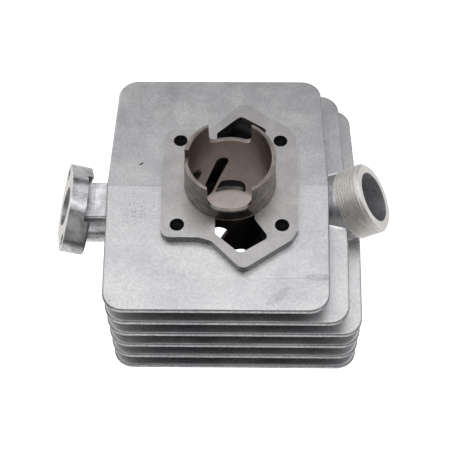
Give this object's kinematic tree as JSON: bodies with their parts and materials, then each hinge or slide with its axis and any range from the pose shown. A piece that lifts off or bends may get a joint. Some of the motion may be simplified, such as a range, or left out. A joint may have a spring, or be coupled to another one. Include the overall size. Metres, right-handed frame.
{
  "type": "engine cylinder",
  "caption": "Finned two-stroke engine cylinder with a ported iron liner, crankcase joint pad, tilted intake flange and threaded exhaust end.",
  "frame": {"origin": "on the bore axis, in the head joint face", "axes": "+Z along the bore towards the crankcase, +X towards the exhaust, -X towards the intake; the dies part on Y = 0"},
  "size_m": [0.1697, 0.1368, 0.0896],
  "materials": {
    "cast_aluminium": "as die-cast, matt, with machined joint faces",
    "liner_iron": "turned outside, honed bore"
  },
  "bodies": {
    "root": {"barrel": "cast_aluminium", "liner": "liner_iron"}
  },
  "joints": []
}
